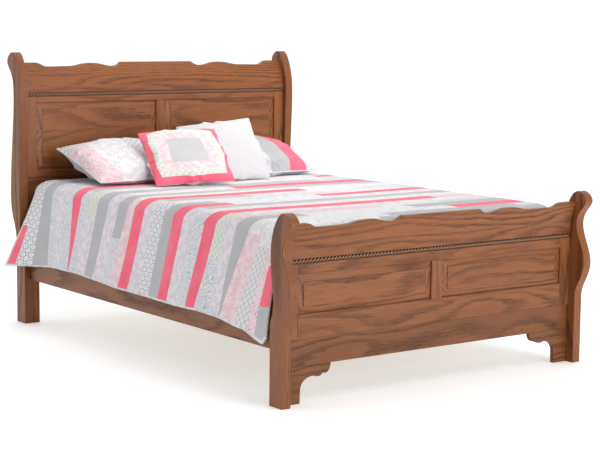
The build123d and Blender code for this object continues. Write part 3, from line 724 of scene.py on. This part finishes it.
def make_quilt():
    """One sheet in two layers, with printed strips outside, a lining inside and a bound edge."""
    rows = quilt_rows()
    width = 2 * HALF
    inner_columns = np.arange(2 * BINDING, width - 2 * BINDING, STEP_U)
    across = np.concatenate([[0, BINDING], inner_columns, [width - BINDING, width]])
    count = len(across)
    outer, inner, uvs = [], [], []
    for row in rows:
        top_y, in_strip = row[0], row[3]
        billow = math.sin(in_strip * math.pi) ** 0.45 if 0 < in_strip < 1 else 0.0
        for u in across:
            middle, out = quilt_point(u, row)
            stitched = abs(math.sin(u * math.pi / PUFF_PITCH)) ** 0.6 * billow
            ruffle = 0.0009 * noise.noise(Vector((u * 38, top_y * 16, 0)))
            outer.append(middle + out * (THICK / 2 + PUFF * stitched + ruffle))
            inner.append(middle - out * (THICK / 2))
            uvs.append((u, top_y))
    binding, lining = FABRIC_ORDER.index("binding"), FABRIC_ORDER.index("lining")
    flap_low = DROP + FLAP_SHARE * TURN_LENGTH
    kept = {}  # (row, column) of each face, and its fabric
    for r in range(len(rows) - 1):
        for i in range(count - 1):
            middle_u = (across[i] + across[i + 1]) / 2
            if r < FOOT_ROWS and not flap_low < middle_u < width - flap_low:
                continue
            edge = r in (0, len(rows) - 2) or i in (0, count - 2)
            kept[r, i] = binding if edge else fabric_at(rows[r][2], middle_u / width)
    total = len(outer)
    faces, marks = [], []
    for (r, i), fabric in kept.items():
        a, d = r * count + i, (r + 1) * count + i
        b, c = a + 1, d + 1
        faces += [(a, b, c, d), (a + total, d + total, c + total, b + total)]
        marks += [fabric, lining if fabric != binding else binding]
        neighbours = (((r - 1, i), (a, b)), ((r, i + 1), (b, c)),
                      ((r + 1, i), (c, d)), ((r, i - 1), (d, a)))
        for neighbour, (p, q) in neighbours:
            if neighbour not in kept:  # a wall between the two layers
                faces.append((q, p, p + total, q + total))
                marks.append(binding)
    used = sorted({i for face in faces for i in face})
    renumber = {old: new for new, old in enumerate(used)}
    both_layers = outer + inner
    points = [both_layers[i] for i in used]
    faces = [tuple(renumber[i] for i in face) for face in faces]
    quilt = new_piece("quilt_sheet", points, faces, list(FABRICS.values()))
    quilt.data.polygons.foreach_set("material_index", marks)
    face_outwards(quilt)
    layer = quilt.data.uv_layers.new(name="cloth")
    for loop in quilt.data.loops:
        layer.data[loop.index].uv = uvs[used[loop.vertex_index] % total]
    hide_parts("quilt")
    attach(quilt, "quilt")


# --- pillows ------------------------------------------
def flat_pillow(name, width, height, cell, fabric_of):
    """Two layers of cloth joined round the edge; `fabric_of` gives the fabric at a place. Returns the
    pillow and the points of its seam in order."""
    nx, ny = round(width / cell), round(height / cell)
    xs, ys = np.linspace(-width / 2, width / 2, nx + 1), np.linspace(-height / 2, height / 2, ny + 1)
    index, points, uvs = {}, [], []
    for layer in (1, -1):
        for j, y in enumerate(ys):
            for i, x in enumerate(xs):
                rim = i in (0, nx) or j in (0, ny)
                if rim and (1, i, j) in index:
                    index[layer, i, j] = index[1, i, j]
                    continue
                dome = (1 - (2 * x / width) ** 2) * (1 - (2 * y / height) ** 2)
                ripple = 0.002 * noise.noise(Vector((x * 21, y * 21, 3.0 * layer)))
                index[layer, i, j] = len(points)
                points.append((x, y, 0 if rim else layer * (0.004 + 0.010 * dome) + ripple * dome))
                uvs.append((x, y))
    faces, marks = [], []
    for layer in (1, -1):
        for j in range(ny):
            for i in range(nx):
                corners = ((i, j), (i + 1, j), (i + 1, j + 1), (i, j + 1))
                face = tuple(index[layer, a, b] for a, b in corners)
                faces.append(face if layer > 0 else face[::-1])
                x, y = (xs[i] + xs[i + 1]) / 2, (ys[j] + ys[j + 1]) / 2
                marks.append(FABRIC_ORDER.index(fabric_of(x / width, y / height, layer > 0)))
    pillow = new_piece(name, points, faces, list(FABRICS.values()))
    pillow.data.polygons.foreach_set("material_index", marks)
    layer = pillow.data.uv_layers.new(name="cloth")
    for loop in pillow.data.loops:
        layer.data[loop.index].uv = uvs[loop.vertex_index]
    seam = [index[1, i, 0] for i in range(nx)] + [index[1, nx, j] for j in range(ny)]
    seam += [index[1, i, ny] for i in range(nx, 0, -1)] + [index[1, 0, j] for j in range(ny, 0, -1)]
    return pillow, seam


def coordinates_of(piece):
    return np.array([v.co for v in piece.data.vertices], float)


def put_coordinates(piece, points):
    piece.data.vertices.foreach_set("co", np.asarray(points, np.float32).ravel())
    piece.data.update()


FILL_FRAMES = 20
PILLOW_CLOTH = {"quality": 6, "mass": 0.25, "tension_stiffness": 22, "compression_stiffness": 22,
                "shear_stiffness": 8, "bending_stiffness": 0.35, "air_damping": 2.0}


def puff_up(piece, pressure):
    """Fills the pillow by cloth simulation and keeps the result in its mesh."""
    cloth_modifier = piece.modifiers.new("fill", "CLOTH")
    settings = cloth_modifier.settings
    for key, value in PILLOW_CLOTH.items():
        setattr(settings, key, value)
    settings.use_pressure = True
    settings.uniform_pressure_force = pressure
    settings.effector_weights.gravity = 0
    cloth_modifier.collision_settings.use_collision = False
    cloth_modifier.point_cache.frame_end = FILL_FRAMES
    scene = bpy.context.scene
    for step in range(1, FILL_FRAMES + 1):
        scene.frame_set(step)
    points = coordinates_of(piece.evaluated_get(bpy.context.evaluated_depsgraph_get()))
    piece.modifiers.remove(cloth_modifier)
    scene.frame_set(1)
    put_coordinates(piece, points)


def fit_pillow(points, flat, seam, width, height, front, back, waist=0.035):
    """Scales the filled pillow to its real size and straightens its seam, so that each side is only a
    little hollow (`waist`), then scales each face to its depth. `flat` is the pillow before filling."""
    points = points - points[seam].mean(0)
    share = flat[:, :2] / np.abs(flat[:, :2]).max(0)
    for axis, size in ((0, width), (1, height)):
        other = 1 - axis
        for sign in (-1, 1):
            rim = [i for i in seam if share[i, axis] * sign > 0.999]  # this side's part of the seam
            rim.sort(key=lambda i: share[i, other])
            reach = np.interp(share[:, other], share[rim, other], np.abs(points[rim, axis]))
            goal = size / 2 * (1 - waist * (1 - share[:, other] ** 2))
            mine = share[:, axis] * sign > 0
            points[mine, axis] *= (goal / reach)[mine]
    for sign, deep in ((1, front), (-1, back)):
        mine = points[:, 2] * sign > 0
        points[mine, 2] *= deep / max(abs(points[mine, 2]).max(), 1e-6)
    return points


def settle(points, floor_z, blend=0.006):
    """Presses whatever hangs below `floor_z` flat against it."""
    low = floor_z + blend
    under = points[:, 2] < low
    depth = low - points[under, 2]
    points[under, 2] = floor_z + blend * np.exp(-depth / blend)
    return points


def finish_pillow(pillow, node):
    """Smooths the pillow, hides the CAD node that it stands for and attaches the pillow to that node's
    body.
    """
    smooth = pillow.modifiers.new("smooth", "SUBSURF")
    smooth.levels = smooth.render_levels = 1
    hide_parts(node)
    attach(pillow, node)


def pillow_frame(centre, yaw, lean, roll):
    """Matrix from the pillow's own plane to the bed: turned, laid back and tipped."""
    turn = Matrix.Rotation(math.radians(yaw), 4, "Z") @ Matrix.Rotation(math.radians(lean), 4, "X")
    return Matrix.Translation(centre) @ turn @ Matrix.Rotation(math.radians(roll), 4, "Z")


def apply_frame(points, matrix):
    """Moves points by a matrix from pillow_frame."""
    m = np.array(matrix)
    return points @ m[:3, :3].T + m[:3, 3]


def throw_fabric(x, y, front):
    """Square borders from the outside in: coral, lattice, pink, and a grey middle."""
    if not front:
        return "pink"
    out = max(abs(x), abs(y))
    if out > 0.390:
        return "coral"
    if out > 0.300:
        return "green"
    return "pink" if out > 0.190 else "silver"


def left_sham_fabric(x, y, front):
    """Strips from the bed's left edge to its middle."""
    if not front:
        return "lining"
    if x < -0.30:
        return "pink" if y < 0.25 else "rings"
    if x < -0.02:
        return "white" if y < 0.28 else "damask"
    if x < 0.20:
        return "lattice"
    return "pink" if x < 0.42 else "pale"


def right_sham_fabric(x, y, front):
    """Strips from the bed's middle to its right edge."""
    if not front:
        return "lining"
    if x < 0.05:
        return "damask"
    if x < 0.24:
        return "grey"
    return "coral" if x < 0.41 else "lattice"


def plain_fabric(x, y, front):
    """The same white cloth all over."""
    return "plain"


QUILT_TOP = TOP_Z + THICK / 2 + PUFF + 0.0012  # what the pillows lie on
SQUARE_CELL, SHAM_CELL = 0.0095, 0.0105
SQUARE_PRESSURE, SHAM_PRESSURE = 2.2, 2.6
SQUARE_EASE, SHAM_EASE = 1.08, 1.05  # width of the flat cloth to that of the filled pillow
DEPTH_EASE = 1.08  # the same for a sham from front to back
SHAM_FRONT_Z, SHAM_BACK_Z = 0.736, 0.870  # seam plane at the sham's front and at its back
SHAM_WELT = 0.0032


def fill_pillow(pillow, seam, pressure, size, depths, frame_matrix):
    """Fills a flat pillow, fits it to its size and its depths in front and behind, and lays it down."""
    flat = coordinates_of(pillow)
    puff_up(pillow, pressure)
    points = fit_pillow(coordinates_of(pillow), flat, seam, *size, *depths)
    points = apply_frame(points, frame_matrix)
    put_coordinates(pillow, settle(points, QUILT_TOP))


def make_square_pillow(name, node, size, centre, angles, fabric_of, depths):
    flat_size = size * SQUARE_EASE
    pillow, seam = flat_pillow(name, flat_size, flat_size, SQUARE_CELL, fabric_of)
    fill_pillow(pillow, seam, SQUARE_PRESSURE, (size, size), depths, pillow_frame(centre, *angles))
    finish_pillow(pillow, node)


def make_sham(side, fabric_of):
    """A bed pillow in its sham: seam tipped up towards the headboard, belly resting on the quilt."""
    node = f"sham_{side}"
    low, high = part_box(node)
    rise, run = SHAM_BACK_Z - SHAM_FRONT_Z, high.y - low.y
    width, depth = high.x - low.x + 0.012, math.hypot(run, rise)
    centre = ((low.x + high.x) / 2, (low.y + high.y) / 2, (SHAM_FRONT_Z + SHAM_BACK_Z) / 2)
    place = pillow_frame(centre, 0, math.degrees(math.atan2(rise, run)), 0)
    flat_size = width * SHAM_EASE, depth * DEPTH_EASE
    pillow, seam = flat_pillow(f"{side}_sham", *flat_size, SHAM_CELL, fabric_of)
    fill_pillow(pillow, seam, SHAM_PRESSURE, (width, depth), (0.078, 0.062), place)
    loop = coordinates_of(pillow)[seam]
    finish_pillow(pillow, node)
    welt = seam_cord(f"{side}_sham_welt", loop, SHAM_WELT, FABRICS["binding"], sides=6)
    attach(welt, node)


# --- camera, light and floor --------------------------
CAMERA_PLACE = (-4.525, -6.292, 1.531)
CAMERA_YAW, CAMERA_DOWN, CAMERA_ROLL = 36.34, 7.18, 0.56  # degrees
CAMERA_LENS = 98.6
WARM, COOL = (1.0, 0.98, 0.95), (0.94, 0.97, 1.0)
FLOOR_REACH, FLOOR_Z = 30, -0.001
BEHIND = (0.62, 0.70, 0.30)  # about the way the camera looks, where the world glows most
GLOW_TURN = (-0.9, 0.45)  # how far a direction agrees with BEHIND at the ends of the change
GLOW = (0.30, 1.05)  # strength of the world's light at those ends


def set_camera():
    camera = bpy.data.objects.new("camera", bpy.data.cameras.new("camera"))
    bpy.context.scene.collection.objects.link(camera)
    camera.data.lens = CAMERA_LENS
    camera.data.clip_end = 60
    yaw = Matrix.Rotation(math.radians(-CAMERA_YAW), 4, "Z")
    tilt = Matrix.Rotation(math.radians(90 - CAMERA_DOWN), 4, "X")
    roll = Matrix.Rotation(math.radians(CAMERA_ROLL), 4, "Z")
    camera.matrix_world = Matrix.Translation(CAMERA_PLACE) @ yaw @ tilt @ roll
    bpy.context.scene.camera = camera


def area_light(name, place, aim, size, power, colour=(1, 1, 1), spread=180):
    """A rectangular light of `power` watts; `spread` is the angle of its beam in degrees."""
    data = bpy.data.lights.new(name, "AREA")
    data.shape = "RECTANGLE"
    data.size, data.size_y = size
    data.energy = power
    data.color = colour
    data.spread = math.radians(spread)
    light = bpy.data.objects.new(name, data)
    light.location = place
    light.rotation_euler = (Vector(aim) - Vector(place)).to_track_quat("-Z", "Y").to_euler()
    bpy.context.scene.collection.objects.link(light)


def set_floor():
    """A pale floor that glows a little, so that it meets the white background."""
    r = FLOOR_REACH
    corners = [(x, y, FLOOR_Z) for x, y in ((-r, -r), (r, -r), (r, r), (-r, r))]
    n = Nodes("studio_floor")
    mottled = n.noise(n.coordinates("Object"), 1.5, 3.0)
    n.set(Base_Color=n.mix(n.spread(mottled, 0.3, 0.7), (0.93,) * 3, (0.95,) * 3), Roughness=0.7)
    n.set(Emission_Color=(1, 1, 1, 1), Emission_Strength=0.30)
    floor = new_piece("floor", corners, [(0, 1, 2, 3)], [n.material])


def set_world():
    """White glow, stronger behind the bed than behind the camera."""
    world = bpy.data.worlds.new("studio")
    bpy.context.scene.world = world
    world.use_nodes = True
    sky = world.node_tree
    facing = sky.nodes.new("ShaderNodeTexCoord").outputs["Generated"]
    behind = sky.nodes.new("ShaderNodeVectorMath")
    behind.operation = "DOT_PRODUCT"
    behind.inputs[1].default_value = BEHIND
    glow = sky.nodes.new("ShaderNodeMapRange")
    for place, value in enumerate(GLOW_TURN + GLOW, 1):
        glow.inputs[place].default_value = value
    sky.links.new(facing, behind.inputs[0])
    sky.links.new(behind.outputs["Value"], glow.inputs[0])
    sky.links.new(glow.outputs[0], sky.nodes["Background"].inputs["Strength"])
    sky.nodes["Background"].inputs["Color"].default_value = (1, 1, 1, 1)


def set_lights():
    area_light("top", (0.9, 0.2, 4.6), (0, 0.1, 0.5), (3.6, 3.2), 40)
    area_light("headboard_fill", (-0.3, -1.5, 2.6), (0.30, 1.1, 1.20), (1.2, 0.8), 7.5, WARM, spread=70)
    area_light("front_softbox", (0.9, -6.2, 1.5), (0, -0.5, 0.6), (2.6, 2.4), 158, WARM)
    area_light("left_window", (-5.2, 0.6, 2.0), (0, 0, 0.6), (2.0, 1.8), 10, COOL)


# --- putting it together ------------------------------
dress_cad_nodes()
crest_rail("foot", FOOT_FACE, FOOT_LEAN)
crest_rail("head", HEAD_FACE, HEAD_LEAN)
rope_wood = rope_material()
rope_moulding("foot", rope_wood)
rope_moulding("head", rope_wood)
tape = ticking("tape_cotton", (0.62, 0.63, 0.66))
box_cover = ticking("box_cover", (0.70, 0.69, 0.66))
mattress_cover = ticking("mattress_cover", (0.80, 0.80, 0.79))
soft_block("box_spring_cover", "box_spring", (0.008, 0.008), 0.0, box_cover, tape)
soft_block("mattress_pad", "mattress", (0.090, 0.058), 0.005, mattress_cover, tape)
make_quilt()
make_square_pillow("throw_pillow_square", "throw_pillow", size=0.405,
                   centre=(-0.192, FOOT_EDGE + 1.6125, 0.846), angles=(-20, 35.3, 4.5),
                   fabric_of=throw_fabric, depths=(0.055, 0.040))
make_square_pillow("white_pillow_square", "white_pillow", size=0.400,
                   centre=(0.108, FOOT_EDGE + 1.736, 0.850), angles=(-22.8, 46.7, 8.7),
                   fabric_of=plain_fabric, depths=(0.050, 0.024))
make_sham("left", left_sham_fabric)
make_sham("right", right_sham_fabric)
set_camera()
set_floor()
set_world()
set_lights()
bpy.context.scene.view_settings.view_transform = "Standard"
bpy.context.scene.view_settings.look = "None"
